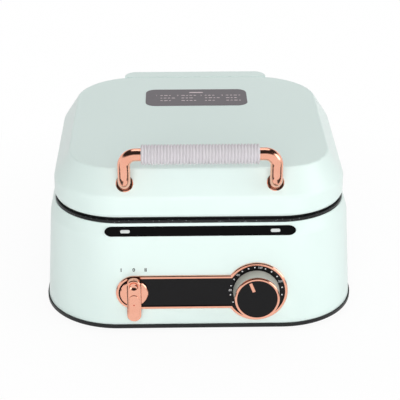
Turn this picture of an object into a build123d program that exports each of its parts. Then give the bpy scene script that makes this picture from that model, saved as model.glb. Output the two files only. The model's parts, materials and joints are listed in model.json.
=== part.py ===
"""Countertop pancake maker: a deep lower pan in a tapered housing, and a heated lid on a floating rear hinge.

Everything is built about the middle of the housing's footprint, front towards -Y, and moved at the end so
that the origin is the middle of the bounding box, on the surface that the feet stand on.
"""

from build123d import *
import math
import os

# Housing of the base: the trim line's half width and corner, and how far in the rest stands from it.
foot_height = 3.0
trim_half = 178.0
trim_corner = 86.0
trim_height = 5.0
skirt_inset = 1.5
belt_inset_x = 7.6
belt_inset_y = 6.9
belt_corner_less = 2.0
belt_z = 115.0
belt_soft = 1.6
slope_inset = 5.4
slope_corner_less = 7.0
slope_height = 14.0
wall = 2.5

# Lower pan, which hangs by its rim on the ledge of the base.
pan_rim_thick = 3.3
pan_rim_inset = 0.8
pan_rim_width = 18.0
pan_corner_less = 17.0
pan_draft = 7.0
pan_depth = 24.0
pan_wall = 3.2
pan_floor_thick = 3.5
pan_hole_gap = 1.5

# Lid: housing, black frame under it and upper plate.
lid_gap = 0.4
frame_thick = 3.3
frame_inset = 1.8
lid_step = 0.4
lid_rear_step = 3.8
lid_front_corner_less = 2.0
lid_rear_corner_more = 14.0
lid_lip_inset = 1.5
lid_lip_height = 3.0
lid_wall_height = 22.6
lid_slope_height = 28.4
lid_top_inset = 18.2
lid_top_corner_less = 18.0
plate_inset = 6.0
plate_corner_less = 6.0
plate_thick = 4.0
plate_side_gap = 1.0
plate_wall = 3.5
plate_flange = 5.0
plate_flange_thick = 3.0
plate_ear_radius = 6.0
plate_ear_out = 8.0

# Housing over the hinge, behind the lid.
hump_half_width = 90.5
hump_crest_out = 1.0
hump_rear_out = 26.0
hump_rear_drop = 34.0
hump_rear_height = 13.0
hump_corner = 14.0
hump_lap = 40.0

# Hinge: a steel pin through the lid's arms, and a bush at each end that slides in a slotted tower.
hinge_out = 12.0
hinge_down = 37.0
pin_radius = 3.0
pin_clearance = 0.05
float_travel = 5.0
tower_gap = 2.0
tower_thick = 6.0
tower_half = 7.5
tower_foot_down = 31.0
tower_flange_width = 26.0
tower_flange_height = 34.0
tower_flange_thick = 4.0
tower_screw_pitch = 18.0
bush_half = 4.2
slot_clearance = 0.15
arm_in = 10.5
arm_thick = 4.0
arm_half = 8.0
arm_reach = 66.0
arm_crown_down = 7.5
arm_flange_width = 16.0
arm_flange_thick = 3.0
arm_flange_length = 32.0
clip_thick = 1.4
side_play = 1.0

# Controls, on the leaning front wall.
control_z = 48.0
knob_x = 62.5
lever_x = -74.0
bezel_bar_half = 20.2
bezel_round = 35.1
bezel_width = 2.8
bezel_height = 2.6
panel_sink = 1.0
panel_rise = 0.8
panel_fit = 0.1
shaft_radius = 3.0
shaft_clearance = 0.06
bracket_side = 22.0
bracket_height = 40.0
bracket_thick = 1.2
thermostat_size = 34.0
thermostat_depth = 16.0
cell_radius = 13.0
cell_depth = 5.0
switch_width = 30.0
switch_height = 36.0
switch_depth = 20.0
terminal_pitch = 9.0
terminal_length = 8.0
nose_radius = 4.9
nose_clearance = 0.3
knob_base_radius = 26.0
knob_front_radius = 24.9
knob_height = 19.4
knob_lift = 1.0
knob_wall = 2.4
ring_width = 2.4
ring_height = 3.0
cap_thick = 2.2
pointer_length = 11.0
pointer_width = 3.3
pointer_near = 9.4
pointer_angle = 22.0
disc_radius = 15.6
disc_height = 3.2
lever_width = 16.0
lever_edge = 2.0
lever_top = 20.6
lever_bottom = 30.5
lever_thick = 7.0
lever_lift = 2.2
pad_width = 12.0
pad_top = 2.6
pad_bottom = 25.7
pad_height = 1.0
pad_edge = 0.6
dimple_radius = 6.0
dimple_depth = 2.8
dimple_v = 13.5
set_screw_v = -9.2
set_screw_radius = 0.8

# Indicator strip on the sloping shoulder of the base.
strip_length = 211.0
strip_end = 8.5
strip_width = 11.2
strip_sink = 1.2
strip_rise = 0.3
strip_step = 1.3
lens_from_end = 22.7
lens_length = 10.8
lens_width = 3.9
lens_rise = 0.5
lamp_radius = 2.4
lamp_length = 11.0

# Handle on the lid.
leg_x = 82.5
leg_root_in = 9.2
handle_out = 2.6
handle_up = 25.1
rod_radius = 7.0
rod_bend = 13.0
root_bend = 12.0
root_depth = 9.0
grip_radius = 11.2
grip_groove = 0.9
grip_length = 127.5
rib_count = 37
collar_radius = 9.6
collar_thick = 2.2
rod_fit = 0.1

# Label plate on the lid.
label_width = 125.0
label_depth = 56.0
label_from_rear = 93.2
label_corner = 12.0
label_thick = 1.2
label_sink = 0.8

# Heating.
tube_radius = 3.3
tube_gap = 0.1
tube_inset = 32.0
tube_bend = 26.0
tube_end_x = 16.0
tube_end_drop = 14.0
tube_end_bend = 9.0
boss_radius = 5.0
boss_inset = 62.0
shield_thick = 1.0
shield_inset = 12.0
shield_corner_less = 3.0
shield_gap = 9.5

# Fasteners, feet, power inlet and posts.
screw_radius = 1.8
screw_head_radius = 3.4
screw_head_height = 2.0
screw_length = 9.0
post_radius = 6.0
post_inset = 32.0
post_height = 30.0
lug_radius = 7.5
lug_inset = 8.6
arm_boss_radius = 5.0
lug_height = 14.0
foot_radius = 12.0
foot_inset = 50.0
cover_thick = 2.6
cover_lip = 4.0
cover_lip_thick = 2.0
fit = 0.3
inlet_z = 42.0
inlet_width = 30.0
inlet_height = 22.0
inlet_depth = 22.0
inlet_flange = 4.0
inlet_flange_thick = 2.4
socket_width = 24.6
socket_height = 16.6
socket_depth = 17.0
blade_length = 11.5
blade_width = 2.0
blade_height = 5.0
blade_pitch = 7.0

trim_z = foot_height + trim_height
skirt_half = trim_half - skirt_inset
skirt_corner = trim_corner - skirt_inset
belt_half_x = trim_half - belt_inset_x
belt_half_y = trim_half - belt_inset_y
belt_corner = trim_corner - belt_corner_less
ledge_half_x = belt_half_x - slope_inset
ledge_half_y = belt_half_y - slope_inset
ledge_corner = belt_corner - slope_corner_less
ledge_z = belt_z + slope_height
rim_top = ledge_z + pan_rim_thick
pan_mouth_half = ledge_half_x - pan_rim_width
pan_mouth_corner = ledge_corner - pan_corner_less
pan_floor_half = pan_mouth_half - pan_draft
under_pan = rim_top - pan_depth - pan_floor_thick
frame_z = rim_top + lid_gap
lid_z = frame_z + frame_thick
lid_half_x = ledge_half_x - lid_step
lid_front = ledge_half_y - lid_step
lid_rear = ledge_half_y - lid_rear_step
lid_corner_front = ledge_corner - lid_front_corner_less
lid_corner_rear = ledge_corner + lid_rear_corner_more
lid_wall_top = lid_z + lid_wall_height
lid_top_z = lid_wall_top + lid_slope_height
lid_top_corner = lid_corner_front - lid_top_corner_less
plate_half = pan_mouth_half - plate_inset
plate_corner = pan_mouth_corner - plate_corner_less
over_plate = frame_z + plate_thick
plate_ear_place = plate_half + plate_ear_out
label_y = lid_rear - label_from_rear
hump_crest_y = lid_rear + hump_crest_out
hump_rear_y = lid_rear + hump_rear_out
hump_rear_top_z = lid_top_z - hump_rear_drop
hump_bottom_z = hump_rear_top_z - hump_rear_height
hinge_y = lid_rear + hinge_out
hinge_z = lid_top_z - hinge_down
tower_x = hump_half_width + tower_gap + tower_thick / 2
tower_foot_z = belt_z - tower_foot_down
arm_x = hump_half_width - arm_in
arm_flange_x = arm_x - arm_flange_width / 2 + arm_thick / 2
leg_root_y = -(lid_front - leg_root_in)
handle_y = -(lid_front + handle_out)
handle_z = lid_top_z + handle_up
tube_loop_half = pan_floor_half - tube_inset
boss_place = pan_floor_half - boss_inset
shield_half = pan_floor_half - shield_inset
shield_corner = pan_mouth_corner - pan_draft - shield_corner_less
post_place = trim_half - post_inset
foot_place = trim_half - foot_inset
lug_place = lid_half_x - lug_inset
wall_lean = math.degrees(math.atan((skirt_half - belt_half_y) / (belt_z - trim_z)))
slope_lean = math.degrees(math.atan(slope_inset / slope_height))


def plan(half_x, front, rear, r_front, r_rear, z):
    """A rectangle with rounded corners, seen from above, at height z."""
    face = Rectangle(2 * half_x, front + rear)
    face = fillet(face.vertices().group_by(Axis.Y)[0], r_front)
    face = fillet(face.vertices().sort_by(Axis.Y)[-2:], r_rear)
    return Pos(0, (rear - front) / 2, z) * face


def square_plan(half_x, half_y, corner, z):
    """As plan, the same at the front and the rear."""
    return Pos(0, 0, z) * RectangleRounded(2 * half_x, 2 * half_y, corner)


def wall_half_y(z):
    """How far the base's front and rear walls lie from its middle at height z."""
    return skirt_half - (z - trim_z) * math.tan(math.radians(wall_lean))


def stadium(length, width):
    """A bar with round ends along X."""
    return SlotOverall(length, width)


def strip_outline(clearance):
    """The indicator strip's outline: a bar whose ends are drawn out to half ellipses."""
    straight = strip_length / 2 - strip_end
    outline = Rectangle(2 * straight, strip_width - 2 * clearance)
    for side in (-1, 1):
        outline += Pos(side * straight, 0) * Ellipse(strip_end - clearance, strip_width / 2 - clearance)
    return outline


front_wall = Plane(
    origin=(0, -wall_half_y(control_z), control_z),
    x_dir=(1, 0, 0),
    z_dir=(0, -math.cos(math.radians(wall_lean)), math.sin(math.radians(wall_lean))),
)
rear_wall = Plane(
    origin=(0, wall_half_y(inlet_z), inlet_z),
    x_dir=(-1, 0, 0),
    z_dir=(0, math.cos(math.radians(wall_lean)), math.sin(math.radians(wall_lean))),
)
lens_x = strip_length / 2 - lens_from_end
strip_part = 0.5 - strip_step / math.hypot(slope_inset, slope_height)
front_slope = Plane(
    origin=(0, -(belt_half_y - slope_inset * strip_part), belt_z + slope_height * strip_part),
    x_dir=(1, 0, 0),
    z_dir=(0, -math.cos(math.radians(slope_lean)), math.sin(math.radians(slope_lean))),
)


def raised(plane, sketch, low, high, x=0.0, v=0.0):
    """A sketch drawn on a plane and extruded square to it, from low to high."""
    return extrude(plane * Pos(x, v, low) * sketch, amount=high - low)


def outermost(form, plane):
    """The face of a form that stands furthest out from a plane."""
    return form.faces().sort_by(lambda f: (f.center() - plane.origin).dot(plane.z_dir))[-1]


def keyhole(bar_half, round_radius):
    """Outline of the control panel: a bar with a round left end that runs into a circle."""
    bar = Pos((lever_x + knob_x) / 2, 0) * Rectangle(knob_x - lever_x, 2 * bar_half)
    return bar + Pos(lever_x, 0) * Circle(bar_half) + Pos(knob_x, 0) * Circle(round_radius)


def screw(length=screw_length):
    """A pan-head screw, its head's underside at the origin and its shank down."""
    head = Pos(0, 0, screw_head_height / 2) * Cylinder(screw_head_radius, screw_head_height)
    head = fillet(head.edges().sort_by(Axis.Z)[-1:], 0.8)
    drive = Pos(0, 0, screw_head_height) * (Box(3.6, 0.9, 1.6) + Box(0.9, 3.6, 1.6))
    return head - drive + Pos(0, 0, -length / 2) * Cylinder(screw_radius, length)


def belt_bevel(inset):
    """Two outlines a little below and above the belt, which soften it."""
    low = belt_soft * (skirt_half - belt_half_y) / (belt_z - trim_z)
    high = belt_soft * math.tan(math.radians(slope_lean))
    corner = belt_corner - inset
    below = square_plan(belt_half_x + low - inset, belt_half_y + low - inset, corner, belt_z - belt_soft)
    back = high + inset
    above = square_plan(belt_half_x - back, belt_half_y - back, corner - high, belt_z + belt_soft)
    return [below, above]


def base_outer():
    """The base housing as one filled form."""
    return loft(
        [square_plan(skirt_half, skirt_half, skirt_corner, trim_z)]
        + belt_bevel(0)
        + [square_plan(ledge_half_x, ledge_half_y, ledge_corner, ledge_z)],
        ruled=True,
    )


def base_cavity():
    """The hollow of the base housing."""
    return loft(
        [square_plan(skirt_half - wall, skirt_half - wall, skirt_corner - wall, trim_z)]
        + belt_bevel(wall)
        + [square_plan(ledge_half_x - wall, ledge_half_y - wall, ledge_corner - wall, ledge_z - wall)],
        ruled=True,
    )


corners = [(sx, sy) for sx in (-1, 1) for sy in (-1, 1)]


def base_shell():
    """Moulded housing: skirt wall, sloping shoulder, ledge for the pan, posts for the bottom cover."""
    shell = base_outer() - base_cavity()
    half = pan_mouth_half + pan_wall + pan_hole_gap
    mouth = square_plan(half, half, pan_mouth_corner + pan_wall + pan_hole_gap, ledge_z - 2 * wall)
    shell -= extrude(mouth, amount=4 * wall)
    inside = base_cavity()
    for sx, sy in corners:
        middle = Pos(sx * post_place, sy * post_place, trim_z + post_height / 2)
        post = middle * Cylinder(post_radius, post_height)
        rib_place = Pos(sx * (post_place + 3), sy * (post_place + 3), trim_z + post_height / 2)
        post += rib_place * Rot(0, 0, 45 * sx * sy) * Box(12, 3, post_height)
        shell += post & inside
        shell -= Pos(sx * post_place, sy * post_place, trim_z) * Cylinder(screw_radius, 2 * screw_length)
    panel_outline = keyhole(bezel_bar_half - bezel_width, bezel_round - bezel_width)
    shell -= raised(front_wall, panel_outline, -panel_sink, 6)
    for x in (knob_x, lever_x):
        shell -= raised(front_wall, Circle(nose_radius + nose_clearance), -8, 6, x)
    shell -= raised(front_slope, strip_outline(0), -strip_sink, 6)
    for x in (-lens_x, lens_x):
        shell -= raised(front_slope, stadium(lens_length, lens_width), -8, 6, x)
    shell -= raised(rear_wall, Rectangle(inlet_width + 2 * fit, inlet_height + 2 * fit), -8, 8)
    for x in (-tower_x, tower_x):
        for u, v in tower_screw_places():
            shell -= tower_plane(x) * Pos(u, v, 0) * Cylinder(screw_radius, 14)
    return shell


def tower_plane(x):
    """The rear wall's outside surface at a hinge tower's foot."""
    return Plane(
        origin=(x, wall_half_y(tower_foot_z), tower_foot_z), x_dir=(-1, 0, 0), z_dir=rear_wall.z_dir
    )


def tower_screw_places():
    """Where a tower's four screws go, across and up the wall from its foot."""
    return [(side * tower_screw_pitch / 2, v) for side in (-1, 1) for v in (6.0, 6.0 + tower_screw_pitch)]


def bottom_cover():
    """Black tray that closes the base, with the trim line that shows round its edge and cooling slots."""
    edge = extrude(square_plan(trim_half, trim_half, trim_corner, foot_height), amount=trim_height)
    edge = fillet(edge.edges().filter_by(lambda e: abs(e.center().Z - foot_height) < 0.1), 1.2)
    inner = trim_half - skirt_inset - wall - fit - cover_lip_thick
    inner_corner = skirt_corner - wall - fit - cover_lip_thick
    hollow = square_plan(inner, inner, inner_corner, foot_height + cover_thick)
    lip_half = inner + cover_lip_thick
    lip = extrude(square_plan(lip_half, lip_half, skirt_corner - wall - fit, trim_z), amount=cover_lip)
    tray = edge + lip - extrude(hollow, amount=trim_height + cover_lip)
    for sx, sy in corners:
        spot = Pos(sx * post_place, sy * post_place, foot_height)
        tray += spot * Pos(0, 0, trim_height / 2) * Cylinder(post_radius + 2, trim_height)
        tray -= spot * Cylinder(screw_radius + 0.2, 4 * trim_height)
        tray -= spot * Cylinder(screw_head_radius + 0.4, 2 * (screw_head_height + 0.6))
        tray -= Pos(sx * foot_place, sy * foot_place, foot_height) * Cylinder(3.2, 3 * cover_thick)
        lip_gap = Cylinder(post_radius + 4, 2 * cover_lip)
        tray -= Pos(sx * post_place, sy * post_place, trim_z + cover_lip) * lip_gap
    for row in range(-4, 5):
        for side in (-1, 1):
            slit = extrude(stadium(60, 4.5), amount=2 * cover_thick, both=True)
            tray -= Pos(side * 42, row * 14, foot_height) * slit
    return tray


def foot():
    """Rubber foot with a barbed stud that snaps into the bottom cover."""
    pad = Pos(0, 0, foot_height / 2) * Cylinder(foot_radius, foot_height)
    pad = fillet(pad.edges().sort_by(Axis.Z)[:1], 0.9)
    stud = Pos(0, 0, foot_height + cover_thick / 2) * Cylinder(3.1, cover_thick)
    barb = Pos(0, 0, foot_height + cover_thick + 1.0) * Cone(4.2, 2.4, 2.0)
    return pad + stud + barb


def pan_form(half, floor_half, corner, floor_corner, top, depth):
    """The tapered form that a pan's hollow or its outside follows."""
    return loft(
        [square_plan(half, half, corner, top), square_plan(floor_half, floor_half, floor_corner, top - depth)]
    )


def lower_pan():
    """Cast aluminium pan with a flat rim, and four bosses under its floor that carry the heat shield."""
    rim_x = ledge_half_x - pan_rim_inset
    rim_y = ledge_half_y - pan_rim_inset
    rim = extrude(square_plan(rim_x, rim_y, ledge_corner - pan_rim_inset, ledge_z), amount=pan_rim_thick)
    rim = fillet(rim.edges().filter_by(lambda e: abs(e.center().Z - rim_top) < 0.1), 1.0)
    drop = pan_floor_half - pan_mouth_half
    body = pan_form(
        pan_mouth_half + pan_wall,
        pan_floor_half + pan_wall,
        pan_mouth_corner + pan_wall,
        pan_mouth_corner + pan_wall + drop,
        ledge_z + 0.5,
        pan_depth - pan_rim_thick + pan_floor_thick + 0.5,
    )
    hollow = pan_form(
        pan_mouth_half, pan_floor_half, pan_mouth_corner, pan_mouth_corner + drop, rim_top, pan_depth
    )
    floor_edges = hollow.edges().filter_by(lambda e: abs(e.center().Z - (rim_top - pan_depth)) < 0.1)
    hollow = fillet(floor_edges, 5.0)
    pan = rim + body - hollow
    under = rim_top - pan_depth - pan_floor_thick
    for sx, sy in corners:
        boss_middle = Pos(sx * boss_place, sy * boss_place, under - shield_gap / 2)
        boss = boss_middle * Cylinder(boss_radius, shield_gap)
        hole = Pos(sx * boss_place, sy * boss_place, under - shield_gap) * Cylinder(screw_radius, 14)
        pan = pan + boss - hole
    return pan


def heating_tube(face_z, side):
    """Tubular element that lies on a pan at face_z, on its lower (side -1) or upper (+1) face."""
    level = face_z + side * (tube_radius + tube_gap)
    tip = level + side * tube_end_drop
    half = tube_loop_half
    corners_of_loop = [
        (-tube_end_x, half, tip),
        (-tube_end_x, half, level),
        (-half, half, level),
        (-half, -half, level),
        (half, -half, level),
        (half, half, level),
        (tube_end_x, half, level),
        (tube_end_x, half, tip),
    ]
    bends = [tube_end_bend, tube_bend, tube_bend, tube_bend, tube_bend, tube_end_bend]
    path = FilletPolyline(*corners_of_loop, radius=bends)
    start = Plane(origin=corners_of_loop[0], z_dir=path.tangent_at(0))
    return sweep(start * Circle(tube_radius), path=path)


def heat_shield(face_z, side):
    """Bright sheet that throws the element's heat back at the pan, screwed to the pan's bosses."""
    low = face_z + side * shield_gap
    sheet = extrude(square_plan(shield_half, shield_half, shield_corner, low), amount=side * shield_thick)
    edge_height = -side * 4.0
    edge = extrude(square_plan(shield_half, shield_half, shield_corner, low), amount=edge_height)
    edge -= extrude(
        square_plan(shield_half - shield_thick, shield_half - shield_thick, shield_corner - shield_thick, low),
        amount=edge_height,
    )
    sheet += edge
    for sx, sy in corners:
        sheet -= Pos(sx * boss_place, sy * boss_place, low) * Cylinder(screw_radius + 0.2, 8)
    for sx in (-1, 1):
        sheet -= Pos(sx * tube_end_x, tube_loop_half, low) * Cylinder(tube_radius + 1.5, 8)
    return sheet


def shield_screws(face_z, side):
    """Four screws that hold a heat shield to its pan."""
    seat = face_z + side * (shield_gap + shield_thick)
    turn = Rot(180, 0, 0) if side < 0 else Rot(0, 0, 0)
    return [Pos(sx * boss_place, sy * boss_place, seat) * turn * screw(6.0) for sx, sy in corners]


bracket_back = -wall / math.cos(math.radians(wall_lean)) - fit - bracket_thick


def control_bracket():
    """Steel strip behind the front wall that the thermostat and the switch are fixed to."""
    back = -wall / math.cos(math.radians(wall_lean)) - fit
    sheet = Rectangle(knob_x - lever_x + 2 * bracket_side, bracket_height)
    strip = raised(front_wall, sheet, back - bracket_thick, back, (knob_x + lever_x) / 2)
    for x in (knob_x, lever_x):
        strip -= raised(front_wall, Circle(nose_radius + nose_clearance), -12, 6, x)
    return strip


def control_body(x, width, height, depth):
    """Body of a rotary control behind the bracket, with the nose that its shaft turns in."""
    back = bracket_back
    box = raised(front_wall, RectangleRounded(width, height, 3), back - depth, back, x)
    nose = raised(front_wall, Circle(nose_radius), back, panel_rise - 0.1, x)
    bore = raised(front_wall, Circle(shaft_radius + shaft_clearance), back - depth / 2, 6, x)
    return box + nose - bore


def thermostat():
    """Capillary thermostat: a square body with a round cell on its back."""
    body = control_body(knob_x, thermostat_size, thermostat_size, thermostat_depth)
    back = bracket_back - thermostat_depth
    return body + raised(front_wall, Circle(cell_radius), back - cell_depth, back, knob_x)


def rotary_switch():
    """Three-position rotary switch with blade terminals on its back."""
    body = control_body(lever_x, switch_width, switch_height, switch_depth)
    back = bracket_back - switch_depth
    for u in (-terminal_pitch, 0, terminal_pitch):
        for v in (-terminal_pitch, terminal_pitch):
            body += raised(front_wall, Rectangle(1, 5), back - terminal_length, back, lever_x + u, v)
    return body


def control_shaft(x, front):
    """Steel spindle that turns in a control's nose and carries the knob or lever."""
    return raised(front_wall, Circle(shaft_radius), -10, front, x)


def control_panel():
    """Black panel that fills the bezel, sunk into the housing."""
    outline = keyhole(bezel_bar_half - bezel_width - panel_fit, bezel_round - bezel_width - panel_fit)
    plate = raised(front_wall, outline, -panel_sink, panel_rise)
    for x in (knob_x, lever_x):
        plate -= raised(front_wall, Circle(nose_radius + nose_clearance), -8, 6, x)
    return plate


def panel_bezel():
    """Copper-coloured frame round the control panel."""
    outer = raised(front_wall, keyhole(bezel_bar_half, bezel_round), 0, bezel_height)
    outer = chamfer(outermost(outer, front_wall).edges(), 0.8)
    return outer - raised(
        front_wall, keyhole(bezel_bar_half - bezel_width, bezel_round - bezel_width), -1, bezel_height + 1
    )


def turned(profile_points, x):
    """A profile of (radius, height) points turned about a control's axis."""
    profile = make_face(Plane.XZ * Polyline(*profile_points, close=True))
    return front_wall * Pos(x, 0, 0) * revolve(profile, Axis.Z)


knob_low = panel_rise + knob_lift
knob_front = knob_low + knob_height


def knob_skirt():
    """Hollow knob body with a hub on the shaft."""
    ring_seat = knob_front - ring_height
    r_seat = knob_front_radius - 0.2
    points = [
        (shaft_radius + pin_clearance, knob_low + 1),
        (6.5, knob_low + 1),
        (6.5, ring_seat - 3),
        (knob_base_radius - knob_wall, ring_seat - 3),
        (knob_base_radius - knob_wall, knob_low),
        (knob_base_radius, knob_low),
        (r_seat, ring_seat),
        (shaft_radius + pin_clearance, ring_seat),
    ]
    return turned(points, knob_x)


def knob_ring():
    """Polished ring round the knob's face."""
    low = knob_front - ring_height
    r = knob_front_radius
    points = [
        (r - ring_width, low),
        (r, low),
        (r, knob_front - 0.8),
        (r - 0.8, knob_front),
        (r - ring_width, knob_front),
    ]
    return turned(points, knob_x)


def knob_cap():
    """Black face of the knob, with a groove for the pointer."""
    low = knob_front - ring_height
    r = knob_front_radius - ring_width - 0.1
    points = [(0, low), (r, low), (r, low + cap_thick), (0, low + cap_thick)]
    return turned(points, knob_x) - pointer_form(low + cap_thick - 0.8, low + cap_thick + 1)


def pointer_form(low, high):
    """The pointer's bar between two heights above the wall."""
    middle = pointer_near + pointer_length / 2
    turn = math.radians(pointer_angle)
    bar = Rot(0, 0, pointer_angle) * Rectangle(pointer_width, pointer_length)
    return raised(front_wall, bar, low, high, knob_x - middle * math.sin(turn), middle * math.cos(turn))


def knob_pointer():
    """Copper-coloured pointer let into the knob's face."""
    low = knob_front - ring_height
    return pointer_form(low + cap_thick - 0.8, low + cap_thick + 0.3)


disc_low = panel_rise + 0.4
disc_top = disc_low + disc_height
lever_low = disc_top + lever_lift
pad_low = lever_low + lever_thick


def lever_disc():
    """Turned disc at the foot of the selector lever, with the neck that the lever stands on."""
    r = disc_radius
    points = [(0, disc_low), (r, disc_low), (r, disc_top - 0.8), (r - 0.8, disc_top), (0, disc_top)]
    disc = turned(points, lever_x)
    neck = raised(front_wall, Circle(6.0), disc_top, lever_low, lever_x)
    return disc + neck - raised(front_wall, Circle(shaft_radius + pin_clearance), -1, disc_top, lever_x)


def selector_lever():
    """Cast lever: a thick bar with a dish at its upper end, a low raised pad below and a set-screw hole."""
    upright = Rot(0, 0, 90)
    bar = raised(
        front_wall,
        upright * stadium(lever_top + lever_bottom, lever_width),
        lever_low,
        pad_low,
        lever_x,
        (lever_top - lever_bottom) / 2,
    )
    bar = fillet(outermost(bar, front_wall).edges(), lever_edge)
    pad = raised(
        front_wall,
        upright * stadium(pad_top + pad_bottom, pad_width),
        lever_low,
        pad_low + pad_height,
        lever_x,
        (pad_top - pad_bottom) / 2,
    )
    pad = fillet(outermost(pad, front_wall).edges(), pad_edge)
    dish_middle = pad_low + dimple_radius - dimple_depth
    dish = front_wall * Pos(lever_x, dimple_v, dish_middle) * Sphere(dimple_radius)
    hole = raised(front_wall, Circle(set_screw_radius), pad_low - 2, pad_low + 2, lever_x, set_screw_v)
    return bar + pad - dish - hole


def indicator_strip():
    """Black strip let into the sloping shoulder, with two windows."""
    strip = raised(front_slope, strip_outline(panel_fit), -strip_sink, strip_rise)
    for x in (-lens_x, lens_x):
        strip -= raised(front_slope, stadium(lens_length, lens_width), -4, 4, x)
    return strip


def indicator_lens(x):
    """Frosted window over an indicator lamp."""
    window = stadium(lens_length - 2 * panel_fit, lens_width - 2 * panel_fit)
    lens = raised(front_slope, window, -3.0, lens_rise, x)
    return fillet(outermost(lens, front_slope).edges(), 0.4)


def indicator_lamp(x):
    """Neon lamp lying behind its window in a clip that bears on the housing's inside."""
    depth = -3.0 - fit - lamp_radius
    lamp = front_slope * Pos(x, 0, depth) * Rot(0, 90, 0) * Cylinder(lamp_radius, lamp_length)
    for side in (-1, 1):
        place = x + side * (lamp_length / 2 + 2.2)
        lamp += raised(front_slope, Rectangle(1.4, 3.6), depth - lamp_radius - 0.6, -wall - 2 * fit, place)
    middle = depth - lamp_radius
    return lamp + raised(front_slope, Rectangle(lamp_length + 5.8, 5), middle - 0.6, middle + 0.6, x)


def power_inlet():
    """Moulded mains inlet in the rear wall, with a deep socket."""
    body = raised(rear_wall, RectangleRounded(inlet_width, inlet_height, 3), -inlet_depth, 0)
    flange = RectangleRounded(inlet_width + 2 * inlet_flange, inlet_height + 2 * inlet_flange, 4)
    body += raised(rear_wall, flange, 0, inlet_flange_thick)
    socket = RectangleRounded(socket_width, socket_height, 3)
    return body - raised(rear_wall, socket, inlet_flange_thick - socket_depth, 8)


def inlet_blades():
    """Three plated blades standing on the socket's floor."""
    floor = inlet_flange_thick - socket_depth
    places = ((-blade_pitch, -1.5), (0, 2.0), (blade_pitch, -1.5))
    blade = Rectangle(blade_width, blade_height)
    return [raised(rear_wall, blade, floor, floor + blade_length, u, v) for u, v in places]


def hinge_tower(x):
    """Cast bracket on the rear wall, with the upright slot that an end of the hinge pin floats in."""
    top = hinge_z + float_travel
    inside = belt_half_y - 10 * wall
    side = make_face(
        Plane.YZ
        * Polyline(
            (inside, tower_foot_z),
            (hinge_y + 2, tower_foot_z),
            (hinge_y + tower_half, tower_foot_z + 22),
            (hinge_y + tower_half, top),
            (hinge_y - tower_half, top),
            (hinge_y - tower_half, ledge_z),
            (inside, ledge_z),
            close=True,
        )
    )
    web = Pos(x - tower_thick / 2, 0, 0) * extrude(side, amount=tower_thick)
    web += Pos(x, hinge_y, top) * Rot(0, 90, 0) * Cylinder(tower_half, tower_thick)
    flange = RectangleRounded(tower_flange_width, tower_flange_height, 4)
    foot_plate = Pos(0, 15, -tower_flange_thick) * extrude(flange, amount=2 * tower_flange_thick)
    foot_plate = tower_plane(x) * foot_plate
    tower = web + foot_plate - base_outer()
    gap = bush_half + slot_clearance
    slot_height = float_travel + 2 * gap
    tower -= Pos(x, hinge_y, hinge_z - gap + slot_height / 2) * Box(3 * tower_thick, 2 * gap, slot_height)
    for u, v in tower_screw_places():
        tower -= tower_plane(x) * Pos(u, v, 0) * Cylinder(screw_radius + 0.2, 4 * tower_flange_thick)
    return tower


def hinge_bush(x):
    """Nylon block that slides in a tower's slot and carries the pin."""
    block = Pos(x, hinge_y, hinge_z) * Box(tower_thick + 2 * side_play, 2 * bush_half, 2 * bush_half)
    return block - Pos(x, hinge_y, hinge_z) * Rot(0, 90, 0) * Cylinder(pin_radius + pin_clearance, 40)


def hinge_pin():
    """Steel pin right across the hinge."""
    length = 2 * (tower_x + tower_thick / 2 + side_play + clip_thick + 3)
    pin = Pos(0, hinge_y, hinge_z) * Rot(0, 90, 0) * Cylinder(pin_radius, length)
    return chamfer(pin.edges().filter_by(GeomType.CIRCLE), 0.6)


def pin_clips():
    """Two retaining clips on the ends of the pin."""
    place = tower_x + tower_thick / 2 + side_play + clip_thick / 2 + 0.1
    ring = Rot(0, 90, 0) * (Cylinder(pin_radius + 3, clip_thick) - Cylinder(pin_radius + pin_clearance, 4))
    return [Pos(s * place, hinge_y, hinge_z) * ring for s in (-1, 1)]


def lid_form(inset, lip, floor_z, shoulder_z, roof_z):
    """The lid's filled form, drawn inset all round: lip, wall, broad slope and flat top."""
    x, front, rear = lid_half_x - inset, lid_front - inset, lid_rear - inset
    r_front, r_rear = lid_corner_front - inset, lid_corner_rear - inset
    top = lid_top_inset
    return loft(
        [
            plan(x - lip, front - lip, rear - lip, r_front - lip, r_rear - lip, floor_z),
            plan(x, front, rear, r_front, r_rear, floor_z + lid_lip_height),
            plan(x, front, rear, r_front, r_rear, shoulder_z),
            plan(x - top, front - top, rear - top, lid_top_corner - inset, r_rear - top, roof_z),
        ],
        ruled=True,
    )


def hump(inset):
    """The housing over the hinge as a filled form, drawn inset all round for its hollow."""
    bottom = hump_bottom_z - inset * 4
    start = lid_rear - hump_lap
    points = [
        (start, bottom),
        (hump_rear_y - inset, bottom),
        (hump_rear_y - inset, hump_rear_top_z - inset / 2),
        (hump_crest_y - inset / 2, lid_top_z - inset),
        (start, lid_top_z - inset),
    ]
    side = make_face(Plane.YZ * Polyline(*points, close=True))
    half = hump_half_width - inset
    block = Pos(-half, 0, 0) * extrude(side, amount=2 * half)
    side_edges = block.edges().filter_by(lambda e: abs(abs(e.center().X) - half) < 0.1)
    rear_edges = side_edges.filter_by(lambda e: e.center().Y > lid_rear)
    rear_edges = rear_edges.filter_by(lambda e: abs(e.tangent_at(0.5).Z) > 0.3)
    return fillet(rear_edges, hump_corner - inset)


def hinge_housing():
    """Moulded housing over the hinge, open below, lying against the lid's rear wall and slope."""
    cover = hump(0) - hump(wall) - lid_form(-fit, lid_lip_inset, lid_z, lid_wall_top, lid_top_z)
    roof = Pos(0, lid_rear - lid_top_inset - hump_lap / 2 + 2 * fit, lid_top_z) * Box(400, hump_lap, 8 * wall)
    cover -= roof
    return cover - Pos(0, hinge_y, hinge_z) * Rot(0, 90, 0) * Cylinder(pin_radius + fit, 400)


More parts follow.
